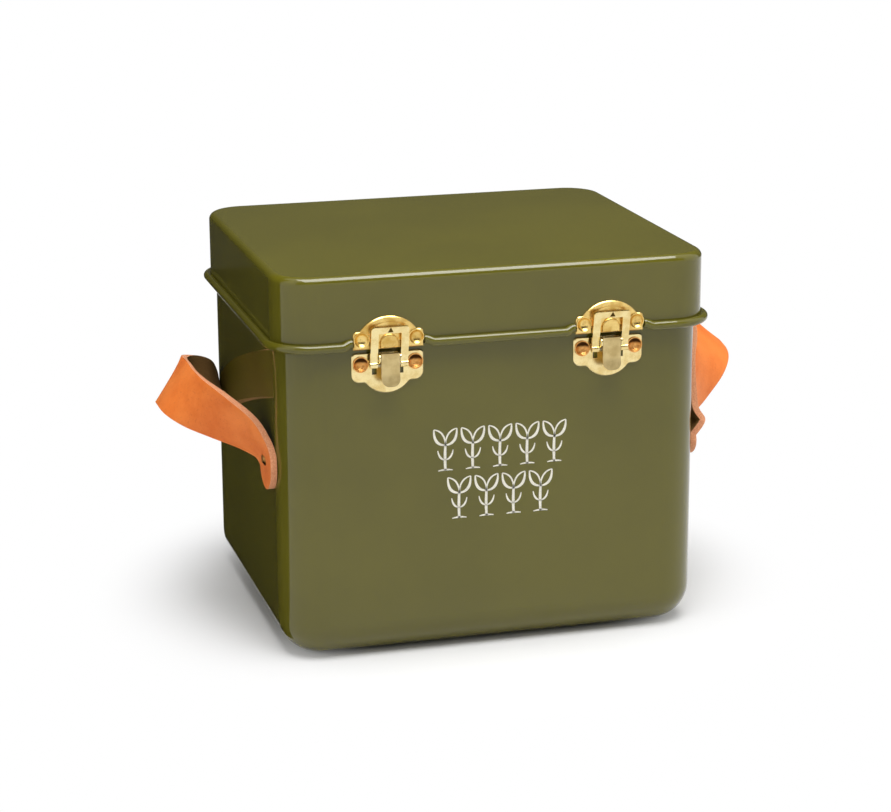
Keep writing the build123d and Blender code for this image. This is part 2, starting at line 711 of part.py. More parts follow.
for side, wall in (("left", left_end), ("right", right_end)):
    with BuildPart() as tails:
        for s in (-1, 1):
            with BuildSketch(wall) as outline:
                with Locations(Location((s * strap_anchor, strap_anchor_level), s * strap_splay)):
                    with Locations((0, strap_tail_above)):
                        Rectangle(strap_width, strap_tail_above + strap_tail_below,
                                  align=(Align.CENTER, Align.MAX))
                    Circle(strap_hole, mode=Mode.SUBTRACT)
                fillet(outline.vertices().sort_by(Axis.Y)[:2], strap_tail_corner)
            extrude(amount=strap_thickness)
    with BuildPart() as washers:
        with BuildSketch(wall.offset(-tin)):
            with Locations(*strap_rivet_places):
                Circle(strap_washer_radius)
                Circle(strap_hole, mode=Mode.SUBTRACT)
        extrude(amount=-strap_washer_thickness)
    seats = [seat(wall, place, strap_thickness) for place in strap_rivet_places]
    keep(tails, f"strap_tails_{side}")
    keep(washers, f"strap_washers_{side}")
    keep(rivet_group(strap_rivet, seats), f"strap_rivets_{side}")

# ================================================================ partition
# A folded sheet across the tub's middle, spot-welded to the floor by its foot, with a hemmed top.
partition_length = inner_depth - 2 * partition_gap
floor_round = foot_radius - tin
foot_length = inner_depth - 2 * (floor_round + partition_foot_setback)

with BuildPart() as centre_partition:
    with BuildSketch(Plane.YZ) as outline:
        with Locations((0, tin)):
            Rectangle(partition_length, partition_height - tin, align=(Align.CENTER, Align.MIN))
        fillet(outline.vertices().group_by(Axis.Y)[0], floor_round + partition_corner_gap)
    extrude(amount=tin / 2, both=True)
    with BuildSketch(Plane.XY.offset(tin)):
        Rectangle(partition_foot_width, foot_length)
    extrude(amount=tin)
    with BuildSketch(Plane.XY.offset(partition_height - partition_hem)) as hem:
        Rectangle(3 * tin, partition_length)
    extrude(amount=partition_hem)
    fillet(centre_partition.edges().filter_by(Axis.Y).group_by(Axis.Z)[-1], tin)
keep(centre_partition, "centre_partition")

# ================================================================ divider cards
# Six cards each side of the partition, with their tabs staggered so that each can be read.
card_start = tin / 2 + card_side_gap
card_width = inner_width / 2 - card_side_gap - card_start
card_bottom = tin + card_floor_gap
card_top = card_bottom + card_height
tab_reach = (card_width - tab_width) / 2 - tab_margin

for number in range(2 * cards_per_side):
    side = -1 if number < cards_per_side else 1
    row = number % cards_per_side
    middle = side * (card_start + card_width / 2)
    row_y = (row - (cards_per_side - 1) / 2) * card_pitch
    tab_x = side * (row % tab_places - (tab_places - 1) / 2) * tab_reach
    with BuildPart() as card:
        with BuildSketch(Plane(origin=(middle, row_y, 0), x_dir=(1, 0, 0), z_dir=(0, -1, 0))) as outline:
            with Locations((0, card_bottom)):
                Rectangle(card_width, card_height, align=(Align.CENTER, Align.MIN))
            fillet(outline.vertices().group_by(Axis.Y)[0], card_corner)
            with Locations((tab_x, card_top)):
                Rectangle(tab_width, tab_height, align=(Align.CENTER, Align.MIN))
            fillet(outline.vertices().group_by(Axis.Y)[-1], tab_corner)
        extrude(amount=card_thickness / 2, both=True)
    keep(card, f"card_{number + 1:02d}")
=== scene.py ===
# %% [markdown]
# # A painted tin seed organizer
# The box is a pressed tub and lid of olive enamelled tin, with two brass toggle latches in front,
# brass hinges behind and a leather strap on each end.  The measured model is loaded first and never
# moved.  This lesson dresses it: it gives each piece its finish, makes the soft leather straps and the
# printed marks, and then sets up the studio.

# %% Load the measured model
import json
import math

import bmesh
import bpy
from mathutils import Matrix, Quaternion, Vector


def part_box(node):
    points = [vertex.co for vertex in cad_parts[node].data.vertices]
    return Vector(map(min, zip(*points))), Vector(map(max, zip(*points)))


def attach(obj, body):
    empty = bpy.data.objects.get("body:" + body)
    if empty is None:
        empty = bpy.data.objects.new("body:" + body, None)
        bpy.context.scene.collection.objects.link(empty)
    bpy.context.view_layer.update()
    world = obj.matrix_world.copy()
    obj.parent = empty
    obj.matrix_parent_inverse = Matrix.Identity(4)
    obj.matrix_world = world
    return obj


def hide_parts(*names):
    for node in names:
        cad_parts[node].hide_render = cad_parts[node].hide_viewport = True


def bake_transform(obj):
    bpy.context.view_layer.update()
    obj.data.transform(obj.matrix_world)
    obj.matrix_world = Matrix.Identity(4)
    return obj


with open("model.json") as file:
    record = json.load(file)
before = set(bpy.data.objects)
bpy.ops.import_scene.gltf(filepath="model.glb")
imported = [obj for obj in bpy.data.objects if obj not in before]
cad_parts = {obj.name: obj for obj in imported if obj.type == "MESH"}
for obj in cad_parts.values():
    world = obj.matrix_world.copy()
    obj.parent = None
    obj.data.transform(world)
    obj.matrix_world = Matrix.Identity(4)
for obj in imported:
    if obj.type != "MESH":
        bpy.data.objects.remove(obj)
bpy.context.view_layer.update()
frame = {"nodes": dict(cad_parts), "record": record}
nodes = frame["nodes"]
MM = 0.001

# %% [markdown]
# ## A small language for finishes
# A finish is a graph of nodes.  Linking nodes one by one makes even a short sum hard to read, so a
# socket is wrapped in a class whose operators add Math nodes: `0.4 + 0.1 * dust` then reads as it would
# on paper.  Every other node comes from one method, which takes its type, settings and socket values.

# %% The Signal and Finish classes
class Signal:
    """An output socket of a finish that can be added to and multiplied by a number or another socket."""

    def __init__(self, finish, socket):
        self.finish = finish
        self.socket = socket

    def _sum(self, operation, first, second):
        return self.finish.node("ShaderNodeMath", {"operation": operation}, {0: first, 1: second})

    def __add__(self, other):
        return self._sum("ADD", self, other)

    def __radd__(self, other):
        return self._sum("ADD", other, self)

    def __mul__(self, other):
        return self._sum("MULTIPLY", self, other)

    def __rmul__(self, other):
        return self._sum("MULTIPLY", other, self)


class Finish:
    """A material, or the world round the object, that is put together node by node."""

    def __init__(self, name, kind="materials"):
        self.material = getattr(bpy.data, kind).new(name)
        self.material.use_nodes = True
        self.tree = self.material.node_tree
        self.tree.nodes.clear()

    def node(self, kind, settings=None, values=None, output=0):
        """Add a node: first its settings, then the values or links of its sockets."""
        made = self.tree.nodes.new(kind)
        for setting, value in (settings or {}).items():
            setattr(made, setting, value)
        for socket, value in (values or {}).items():
            if isinstance(value, Signal):
                self.tree.links.new(value.socket, made.inputs[socket])
            else:
                made.inputs[socket].default_value = value
        return Signal(self, made.outputs[output]) if made.outputs else made

    def place(self):
        """Where a point is on the object, in metres."""
        return self.node("ShaderNodeTexCoord", output="Object")

    def noise(self, scale, detail=2.0, roughness=0.5, vector=None):
        """Cloudy noise with this many blotches to the metre."""
        return self.node("ShaderNodeTexNoise", None, {
            "Vector": vector or self.place(), "Scale": scale, "Detail": detail, "Roughness": roughness})

    def blend(self, mask, first, second):
        """Mix two colours by a mask."""
        return self.node("ShaderNodeMix", {"data_type": "RGBA"}, {0: mask, 6: first, 7: second}, output=2)

    def step(self, value, low, high):
        """Fade from 0 at low to 1 at high."""
        return self.node("ShaderNodeMapRange", {"interpolation_type": "SMOOTHSTEP"},
                         {"Value": value, "From Min": low, "From Max": high})

    def bump(self, height, depth, strength=1.0):
        """Turn a height into a bent normal; depth is in metres."""
        return self.node("ShaderNodeBump", None, {"Height": height, "Distance": depth, "Strength": strength})

    def surface(self, **values):
        """The finished surface.  Socket names are written with underscores for spaces."""
        shader = self.node("ShaderNodeBsdfPrincipled", None,
                           {name.replace("_", " "): value for name, value in values.items()})
        self.node("ShaderNodeOutputMaterial", None, {"Surface": shader})
        return self.material


def colour(red, green, blue):
    """A colour written as it looks on a screen, 0 to 255, turned into light levels."""
    def level(value):
        value /= 255
        return value / 12.92 if value <= 0.04045 else ((value + 0.055) / 1.055) ** 2.4
    return (level(red), level(green), level(blue), 1.0)


print("finish helpers ready")

# %% [markdown]
# ## Olive enamel
# Tin plate is sprayed and stoved, which leaves a hard, glossy coat.  Seen close, the gloss has a very
# slight orange peel about two millimetres across, and the colour is a little uneven.  A flat colour
# with a clear coat would look like plastic, so both are built from noise, at real sizes.

# %% Make the enamel
def enamel(name, paint):
    finish = Finish(name)
    clouds = finish.noise(14.0, 3.0)
    peel = finish.noise(520.0, 1.0)
    dust = finish.noise(4200.0, 1.0)
    deep = tuple(part * 0.95 for part in paint[:3]) + (1.0,)
    pale = tuple(part * 1.05 for part in paint[:3]) + (1.0,)
    return finish.surface(
        Base_Color=finish.blend(finish.step(clouds, 0.35, 0.65), deep, pale),
        Roughness=0.40 + 0.10 * dust,
        IOR=1.5,
        Specular_IOR_Level=0.05,
        Coat_Weight=1.0,
        Coat_Roughness=0.04,
        Coat_IOR=1.5,
        Normal=finish.bump(peel, 0.00002, 0.2),
    )


olive = enamel("olive_enamel", colour(93, 88, 19))
print("enamel:", olive.name)

# %% [markdown]
# ## Brass
# The latches and hinges are stamped from brass strip and polished in a drum, so they are bright but
# not mirrors: the surface keeps faint rolling marks and small dents from the other pieces.  The keepers
# are golden, and the levers are rougher and painted a darker brass as painted shade.  The rivets are of a
# warmer, duller brass, with painted shade: dark brown on the faces under the upper rims of their cups.

# %% Make the brasses and the steel of the pins
def metal(name, pale, deep, roughness):
    finish = Finish(name)
    tarnish = finish.step(finish.noise(160.0, 4.0, 0.6), 0.38, 0.70)
    dents = finish.noise(900.0, 2.0)
    grain = finish.noise(6000.0, 1.0)
    return finish.surface(
        Base_Color=finish.blend(tarnish, pale, deep),
        Metallic=1.0,
        Roughness=roughness + 0.10 * grain + 0.05 * tarnish,
        Normal=finish.bump(dents, 0.00004, 0.35),
    )


def rivet_brass(name):
    finish = Finish(name)
    facing = finish.node("ShaderNodeTexCoord", output="Normal")
    upward = finish.node("ShaderNodeSeparateXYZ", None, {0: facing}, output="Z")
    mottle = finish.noise(700.0, 3.0)
    gold = finish.blend(finish.step(mottle, 0.35, 0.7), colour(236, 178, 104), colour(206, 142, 74))
    return finish.surface(
        # Faces that point down, under the upper rims of the cups, turn dark brown: painted shade.
        Base_Color=finish.blend(finish.step(upward + 0.3 * mottle, -0.22, 0.16), colour(62, 40, 18), gold),
        Metallic=1.0,
        Roughness=0.42 + 0.12 * mottle,
    )


brass = metal("pale_brass", colour(246, 226, 166), colour(228, 200, 132), 0.17)
keeper_brass = metal("golden_brass", colour(240, 208, 130), colour(206, 166, 84), 0.20)
# The levers' brass is rougher, and its colour is darker as painted shade.
lever_brass_painted_shade = metal("rubbed_brass_painted_shade", colour(212, 190, 136), colour(188, 164, 110), 0.30)
# The rivets' brass carries painted shade, dark brown under the rims of their cups.
warm_brass_painted_shade = rivet_brass("warm_brass_painted_shade")
# A dark brass for the painted shade in the dents on the links.
dent_shade_brass = metal("dent_shade_brass", colour(104, 82, 34), colour(78, 60, 24), 0.45)
steel = metal("pin_steel", colour(190, 188, 182), colour(160, 158, 152), 0.25)
print("metals:", brass.name, warm_brass_painted_shade.name, steel.name)

# %% [markdown]
# ## Leather
# Each strap is one piece of vegetable-tanned hide.  Its grain side is smooth and waxed, with fine
# pores and darker clouds.  Its flesh side is duller, and its colour is darkened as painted shade.  The cut
# edge is bare fibre, paler than both.  One strap therefore carries three finishes.

# %% Make the three faces of the leather
def grain_leather():
    finish = Finish("leather_grain")
    clouds = finish.noise(38.0, 5.0, 0.62)
    flecks = finish.step(finish.noise(900.0, 3.0, 0.6), 0.56, 0.72)
    pores = finish.node("ShaderNodeTexVoronoi", {"feature": "DISTANCE_TO_EDGE"},
                        {"Vector": finish.place(), "Scale": 1100.0}, output="Distance")
    tan = finish.blend(finish.step(clouds, 0.30, 0.72), colour(242, 136, 60), colour(222, 108, 37))
    tan = finish.blend(flecks * 0.35, tan, colour(184, 82, 32))
    relief = finish.step(pores, 0.0, 0.16) + 0.6 * finish.noise(2600.0, 2.0)
    return finish.surface(
        Base_Color=tan,
        Roughness=0.46 + 0.16 * clouds,
        Specular_IOR_Level=0.32,
        Normal=finish.bump(relief, 0.00009, 0.35),
    )


def fibre_leather(name, pale, deep, depth):
    finish = Finish(name)
    fibres = finish.noise(1500.0, 6.0, 0.7)
    return finish.surface(
        Base_Color=finish.blend(finish.step(fibres, 0.35, 0.68), deep, pale),
        Roughness=0.85,
        Normal=finish.bump(fibres, depth, 0.6),
    )


leather_faces = [
    grain_leather(),
    # The flesh side's browns are darkened as painted shade of the strap's inner side.
    fibre_leather("leather_flesh", colour(150, 110, 56), colour(112, 80, 38), 0.00020),
    fibre_leather("leather_edge", colour(236, 170, 128), colour(208, 132, 90), 0.00015),
]
print("leather:", [m.name for m in leather_faces])

# %% [markdown]
# ## Card and print
# The dividers are uncoated grey-brown board with visible fibres.  The print on the tub and the card
# numbers are matt ink.

# %% Make the board and the inks
def board():
    finish = Finish("divider_board")
    fibres = finish.noise(700.0, 6.0, 0.7)
    specks = finish.step(finish.noise(1600.0, 2.0), 0.66, 0.74)
    paper = finish.blend(finish.step(fibres, 0.3, 0.7), colour(214, 192, 152), colour(196, 170, 128))
    return finish.surface(
        Base_Color=finish.blend(specks * 0.5, paper, colour(120, 92, 60)),
        Roughness=0.9,
        Normal=finish.bump(fibres, 0.00006, 0.5),
    )


def ink(name, shade):
    finish = Finish(name)
    cover = finish.noise(1800.0, 3.0)
    thin = tuple(part * 0.86 for part in shade[:3]) + (1.0,)
    return finish.surface(Base_Color=finish.blend(finish.step(cover, 0.3, 0.6), thin, shade), Roughness=0.55)


divider_board = board()
cream_ink = ink("cream_ink", colour(238, 234, 218))
dark_ink = ink("dark_ink", colour(58, 52, 34))
print("board and inks:", divider_board.name, cream_ink.name, dark_ink.name)

# %% [markdown]
# ## Dress the measured pieces
# The measured pieces keep their shape.  Each one only gets the finish of what it is made of, chosen
# by the material slot that the model's record names for it.

# %% Give each measured piece its finish
finish_of_slot = {
    "paint": olive, "brass": brass, "rivet_brass": warm_brass_painted_shade, "steel": steel,
    "leather": leather_faces[0], "card": divider_board,
}
finish_of_piece = {"latch_keeper": keeper_brass, "latch_lever": lever_brass_painted_shade}
for part in frame["record"]["subparts"]:
    mesh = nodes[part["node"]].data
    kind = part["node"].rsplit("_", 1)[0]
    mesh.materials.clear()
    mesh.materials.append(finish_of_piece.get(kind, finish_of_slot[part["material_slot"]]))


# %% [markdown]
# ## Helpers for new pieces
# New pieces are made in place, in metres, so that their objects sit at the origin as the measured
# ones do.

# %% Turn a bmesh into a piece that rides on the model
def piece(name, shape, finishes, body=None, smooth=True):
    mesh = bpy.data.meshes.new(name)
    shape.to_mesh(mesh)
    shape.free()
    for finish in finishes:
        mesh.materials.append(finish)
    if smooth:
        mesh.shade_smooth()
    else:
        mesh.shade_flat()
    made = bpy.data.objects.new(name, mesh)
    bpy.context.scene.collection.objects.link(made)
    if body:
        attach(made, body)
    return made


def settle(made):
    """Apply a piece's modifiers to its mesh."""
    depsgraph = bpy.context.evaluated_depsgraph_get()
    final = bpy.data.meshes.new_from_object(made.evaluated_get(depsgraph), depsgraph=depsgraph)
    made.modifiers.clear()
    made.data = final


print("piece helpers ready")

# %% [markdown]
# ## The leather straps
# A strap is a flat ribbon that is riveted flat to the end wall at both ends, and is too long for the
# distance between.  So it rises, turns over and bows out, and its surface leans at an angle that
# changes along its length.  A grid is the ribbon's outer face.  Each cross row of the grid is then
# laid between two points, one on the ribbon's upper edge and one on its lower edge.

# %% Where the straps' edges run
STRAP_WIDTH = 25 * MM
STRAP_THICKNESS = 3 * MM
WALL = 100 * MM
# Points of the outer face's upper and lower edge, in mm, from the middle of the handle to the tail that
# is flat on the wall: out from the wall, along the wall from the middle, level.
LEFT_FRONT = (
    [(27.6, 0.0, 125.2), (27.7, 15.2, 124.7), (25.6, 30.4, 122.8), (18.7, 44.3, 118.1),
     (8.7, 57.2, 109.9), (4.6, 65.6, 102.5), (3.0, 69.6, 96.6), (3.0, 70.6, 92.0)],
    [(43.0, 0.0, 104.2), (41.5, 13.9, 103.2), (34.4, 25.4, 100.0), (24.2, 33.5, 96.4),
     (14.3, 39.3, 92.7), (8.2, 42.6, 89.8), (4.6, 44.6, 87.6), (3.0, 46.6, 84.9)],
)
LEFT_REAR = (
    [(27.6, 0.0, 125.2), (27.0, 15.2, 123.4), (24.8, 30.4, 119.8), (18.2, 44.3, 115.6),
     (8.7, 57.2, 109.3), (4.6, 65.6, 102.5), (3.0, 69.6, 96.6), (3.0, 70.6, 92.0)],
    [(43.0, 0.0, 104.2), (41.0, 13.9, 101.6), (33.6, 25.4, 97.0), (24.0, 33.5, 94.4),
     (14.3, 39.3, 92.2), (8.2, 42.6, 89.8), (4.6, 44.6, 87.6), (3.0, 46.6, 84.9)],
)
RIGHT_FRONT = (
    [(25.5, 0.0, 129.4), (23.0, 16.0, 128.0), (17.5, 31.0, 124.5), (12.0, 44.0, 118.5),
     (7.5, 57.0, 109.5), (5.5, 66.0, 101.5), (8.0, 69.4, 95.5), (3.0, 69.2, 88.4)],
    [(44.0, 0.0, 113.2), (41.0, 14.5, 110.8), (34.0, 26.5, 105.6), (23.0, 35.5, 98.6),
     (14.0, 41.0, 92.5), (7.4, 43.0, 89.6), (3.6, 44.8, 87.2), (3.0, 46.2, 82.4)],
)
RIGHT_REAR = (
    [(25.5, 0.0, 129.4), (23.8, 15.2, 128.6), (22.0, 30.4, 125.0), (17.8, 44.3, 118.4),
     (8.7, 57.2, 109.9), (4.6, 65.6, 102.5), (3.0, 69.6, 96.6), (3.0, 70.6, 92.0)],
    [(44.0, 0.0, 113.2), (42.6, 13.9, 114.2), (35.6, 25.4, 105.0), (24.8, 33.5, 97.6),
     (14.3, 39.3, 92.5), (8.2, 42.6, 89.8), (4.6, 44.6, 87.6), (3.0, 46.6, 84.9)],
)
STRAPS = {"left": (-1, LEFT_FRONT, LEFT_REAR), "right": (1, RIGHT_FRONT, RIGHT_REAR)}


def along(before_first, points, place):
    """A point on the smooth line through some points; place counts from the first of them."""
    line = [before_first] + points + [points[-1]]
    index = min(int(place), len(points) - 2)
    before, start, end, after = (Vector(point) for point in line[index:index + 4])
    t = place - index
    return 0.5 * (2 * start + (end - before) * t + (2 * before - 5 * start + 4 * end - after) * t ** 2
                  + (3 * start - before - 3 * end + after) * t ** 3)


def mirrored(point):
    """A point on the other side of the middle of the handle."""
    return (point[0], -point[1], point[2])


print("strap edge, halfway to the rivet:",
      [round(v, 1) for v in along(mirrored(LEFT_REAR[0][1]), LEFT_FRONT[0], 3)])

# %% Lay the ribbon and give it its thickness
ROWS_PER_STEP = 8
END_ROWS = 12
STRAP_COLUMNS = 10
TAIL_TIP = Vector((3.0, 61.7, 77.5))
TIP_WIDTH = 0.04  # the last row's width, as a share of the strap's
EDGE_ROUND = 0.55 * MM
BEND_OUT = 4 * MM  # how far off the wall the leather starts to bend; strap() computes a point from it that nothing uses
BEND_LEVEL = 98 * MM


def half_rows(edges, other_edges):
    """Middles and cross lines of the ribbon's rows from the middle of the handle to a tail's tip, in mm."""
    rows = []
    last = len(edges[0]) - 1
    for step in range(last * ROWS_PER_STEP + 1):
        upper, lower = (along(mirrored(other[1]), edge, step / ROWS_PER_STEP)
                        for edge, other in zip(edges, other_edges))
        rows.append(((upper + lower) / 2, (lower - upper).normalized() * STRAP_WIDTH / MM))
    middle, across = rows[-1]
    for step in range(1, END_ROWS + 1):
        turn = math.pi / 2 * step / END_ROWS
        rows.append((middle.lerp(TAIL_TIP, math.sin(turn)), across * max(math.cos(turn), TIP_WIDTH)))
    return rows


def strap(word):
    side, front_edges, rear_edges = STRAPS[word]
    front = half_rows(front_edges, rear_edges)
    rear = half_rows(rear_edges, front_edges)
    rows = [(row, 1) for row in rear[:0:-1]] + [(row, -1) for row in front]
    shape = bmesh.new()
    bmesh.ops.create_grid(shape, x_segments=STRAP_COLUMNS, y_segments=len(rows) - 1, size=0.5)
    for vertex in shape.verts:
        (middle, across), forward = rows[round((vertex.co.y + 0.5) * (len(rows) - 1))]
        place = middle + across * vertex.co.x
        vertex.co = Vector((side * (WALL + place.x * MM), forward * place.y * MM, place.z * MM))
    bmesh.ops.recalc_face_normals(shape, faces=shape.faces)
    core = Vector((side * WALL, 0, 100 * MM))
    if sum(face.normal.dot(face.calc_center_median() - core) for face in shape.faces) < 0:
        bmesh.ops.reverse_faces(shape, faces=shape.faces)
    made = piece(f"strap_{word}", shape, leather_faces)
    thick = made.modifiers.new("thickness", "SOLIDIFY")
    thick.thickness = STRAP_THICKNESS
    thick.offset = -1
    thick.use_even_offset = True
    thick.material_offset = 1
    thick.material_offset_rim = 2
    soft = made.modifiers.new("rounded_edges", "BEVEL")
    soft.width = EDGE_ROUND
    soft.segments = 3
    soft.limit_method = "ANGLE"
    soft.angle_limit = math.radians(50)
    soft.material = 2
    settle(made)
    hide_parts(f"strap_loop_{word}", f"strap_tails_{word}")
    edge = Vector((side * (WALL + BEND_OUT), 0, BEND_LEVEL))
    edge + Vector((side * 9 * MM, 0, 0))
    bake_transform(made)
    return made


for word in STRAPS:
    made = strap(word)
    print(made.name, len(made.data.polygons), "faces")

# %% [markdown]
# ## The printed seedlings
# The tub's front carries a small pale print: two staggered rows of plain seedlings in thin lines, each
# with a stem, a short line of soil, two leaves that are only outlined and two twigs.  Every line is a
# narrow strip that follows a curve and swells in its middle, as a pen line does.  The print lies a
# few hundredths of a millimetre proud, as screen ink does.

# %% Draw the seedlings on the front
INK_THICKNESS = 0.05 * MM
FRONT = -86.5 * MM
SEEDLING_ROWS = [((-25.2, -12.2, 0.8, 13.8, 26.8), 87.0), ((-18.7, -5.7, 7.3, 20.3), 63.8)]


def lay_on_front(shape):
    """Turn a flat drawing in millimetres to face the front, and give it the thickness of ink."""
    bmesh.ops.recalc_face_normals(shape, faces=shape.faces)
    grown = bmesh.ops.extrude_face_region(shape, geom=shape.faces[:])
    bmesh.ops.translate(shape, vec=(0, 0, INK_THICKNESS / MM),
                        verts=[v for v in grown["geom"] if isinstance(v, bmesh.types.BMVert)])
    bmesh.ops.transform(shape, verts=shape.verts,
                        matrix=Matrix.Translation((0, FRONT, 0)) @ Matrix.Rotation(math.pi / 2, 4, "X")
                        @ Matrix.Scale(MM, 4))
    bmesh.ops.recalc_face_normals(shape, faces=shape.faces)


def pen_line(shape, start, bend, end, thin, thick):
    """A strip along the curve from start to end that is drawn towards bend, thick in its middle."""
    start, bend, end = Vector(start), Vector(bend), Vector(end)
    strip = bmesh.ops.create_grid(shape, x_segments=1, y_segments=20, size=0.5)["verts"]
    for vertex in strip:
        t = vertex.co.y + 0.5
        middle = start.lerp(bend, t).lerp(bend.lerp(end, t), t)
        heading = (bend - start).lerp(end - bend, t).normalized()
        width = thin + (thick - thin) * math.sin(math.pi * t)
        offset = Vector((-heading.y, heading.x)) * vertex.co.x * width
        vertex.co = (middle.x + offset.x, middle.y + offset.y, 0)


def seedling(shape, x, foot):
    """One seedling, 20 mm tall, drawn in front view: across and up, in mm."""
    pen_line(shape, (x, foot), (x - 0.4, foot + 6), (x, foot + 12.5), 1.1, 1.3)
    pen_line(shape, (x - 3.4, foot), (x, foot + 0.7), (x + 3.4, foot), 0.4, 0.8)
    for hand in (-1, 1):
        root = (x, foot + 12.0)
        tip = (x + hand * 5.4, foot + 19.6)
        pen_line(shape, root, (x + hand * 0.2, foot + 18.6), tip, 0.5, 0.8)
        pen_line(shape, root, (x + hand * 5.6, foot + 12.2), tip, 0.6, 1.3)
        twig_tip = (x + hand * 3.6, foot + 9.6)
        pen_line(shape, (x, foot + 5.0), (x + hand * 3.0, foot + 5.4), twig_tip, 0.4, 0.9)


drawing = bmesh.new()
for places, foot in SEEDLING_ROWS:
    for x in places:
        seedling(drawing, x, foot)
lay_on_front(drawing)
print_piece = piece("front_seedling_print", drawing, [cream_ink], "tub", smooth=False)
print("seedlings:", len(print_piece.data.polygons), "faces")

# %% [markdown]
# ## The stamped dent on each link
# The bar of each link has a small three-cornered dent punched in its middle.  The measured link is
# plain, so the shade in the dent is painted: a thin dark inlay pressed onto the bar's leaning face.

# %% Press the painted dent shade onto the links
MARK_RADIUS = 1.55 * MM
MARK_LEVEL = 155.9 * MM
IN_FRONT = -0.2  # any place in front of the box


def pressed_mark(word, x):
    link = nodes[f"latch_link_{word}"]
    shape = bmesh.new()
    bmesh.ops.create_circle(shape, cap_ends=True, radius=MARK_RADIUS, segments=3)
    for vertex in shape.verts:
        start = Vector((x + vertex.co.x, IN_FRONT, MARK_LEVEL + vertex.co.y))
        hit, place = link.ray_cast(start, Vector((0, 1, 0)))[:2]
        if not hit:
            raise ValueError(f"the mark misses {link.name}")
        vertex.co = place
    grown = bmesh.ops.extrude_face_region(shape, geom=shape.faces[:])
    bmesh.ops.translate(shape, vec=(0, -INK_THICKNESS, 0),
                        verts=[v for v in grown["geom"] if isinstance(v, bmesh.types.BMVert)])
    bmesh.ops.recalc_face_normals(shape, faces=shape.faces)
    # The dark inlay is painted shade for the dent.
    return piece(f"link_dent_shade_{word}", shape, [dent_shade_brass], f"latch_link_{word}", smooth=False)


marks = [pressed_mark("left", -51.9 * MM), pressed_mark("right", 52.1 * MM)]
print("marks:", [mark.name for mark in marks])

# %% [markdown]
# ## Card numbers
# Each divider's tab has a plain number, so that packets can be found again.  Blender's own lettering
# is made a mesh, laid on the tab's front face and carried by the card.

# %% Number the divider tabs
NUMBER_SIZE = 8 * MM
NUMBER_DROP = 5.5 * MM  # the middle of the number, below the tab's top edge
TOP_EDGE_DEPTH = 0.2 * MM


def number_tab(number):
    node = f"card_{number:02d}"
    low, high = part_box(node)
    top_edge = [v.co for v in nodes[node].data.vertices if v.co.z > high[2] - TOP_EDGE_DEPTH]
    tab_x = sum(co.x for co in top_edge) / len(top_edge)
    lettering = bpy.data.curves.new(f"number_{number:02d}", "FONT")
    lettering.body = str(number)
    lettering.size = NUMBER_SIZE
    lettering.extrude = INK_THICKNESS / 2
    lettering.align_x = "CENTER"
    lettering.align_y = "CENTER"
    drawn = bpy.data.objects.new("lettering", lettering)
    bpy.context.scene.collection.objects.link(drawn)
    depsgraph = bpy.context.evaluated_depsgraph_get()
    mesh = bpy.data.meshes.new_from_object(drawn.evaluated_get(depsgraph), depsgraph=depsgraph)
    bpy.data.objects.remove(drawn)
    mesh.transform(Matrix.Translation((tab_x, low[1] - INK_THICKNESS / 2, high[2] - NUMBER_DROP))
                   @ Matrix.Rotation(math.pi / 2, 4, "X"))
    mesh.materials.clear()
    mesh.materials.append(dark_ink)
    made = bpy.data.objects.new(f"card_number_{number:02d}", mesh)
    bpy.context.scene.collection.objects.link(made)
    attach(made, node)
    return made


numbers = [number_tab(number) for number in range(1, 13)]
print("numbered", len(numbers), "cards")

# %% [markdown]
# ## The studio
# A glossy box shows its room.  The floor and the sky are white, one large soft lamp hangs above, and two
# dim ones fill in from the left and the right without showing in the gloss.  Dark cards stand behind, to
# the left and high in front, and one lies on the floor, so that the paint keeps its colour where it would
# otherwise mirror white.  The cards are part of the stage and stay out of the camera's view.

# %% The white room
ROOM_LEVEL = 0.20  # how brightly the room lights the box; it looks white all the same


def looked_at(finish):
    """1 for the rays of the camera, of gloss and of glass, and 0 for those that carry light."""
    looked = 0.0
    for ray in ("Is Camera Ray", "Is Glossy Ray", "Is Transmission Ray"):
        this_kind = finish.node("ShaderNodeLightPath", output=ray)
        looked = finish.node("ShaderNodeMath", {"operation": "MAXIMUM"}, {0: looked, 1: this_kind})
    return looked


room = Finish("studio_room", "worlds")
dim = room.node("ShaderNodeBackground", None, {"Color": (1, 1, 1, 1), "Strength": ROOM_LEVEL})
white = room.node("ShaderNodeBackground", None, {"Color": (1, 1, 1, 1), "Strength": 1.0})
sky = room.node("ShaderNodeMixShader", None, {0: looked_at(room), 1: dim, 2: white})
room.node("ShaderNodeOutputWorld", None, {"Surface": sky})
bpy.context.scene.world = room.material
print("room ready")


# %% The floor, and helpers for the cards
FLOOR_BOARD = (0.76, 0.76, 0.76, 1)
FLOOR_FADE = (0.09, 0.18)  # from the middle of the box, in metres


def card(name, corner, along, across, material, reflected_only=True):
    """A flat card on the stage, spanned by two vectors from its corner."""
    along, across = Vector(along), Vector(across)
    spread = Matrix((along, across, along.cross(across).normalized())).transposed().to_4x4()
    shape = bmesh.new()
    bmesh.ops.create_grid(shape, x_segments=1, y_segments=1, size=0.5)
    bmesh.ops.transform(shape, verts=shape.verts,
                        matrix=Matrix.Translation(corner) @ spread @ Matrix.Translation((0.5, 0.5, 0)))
    made = piece(name, shape, [material], smooth=False)
    if reflected_only:
        made.visible_camera = False
        made.visible_diffuse = False
        made.visible_shadow = False


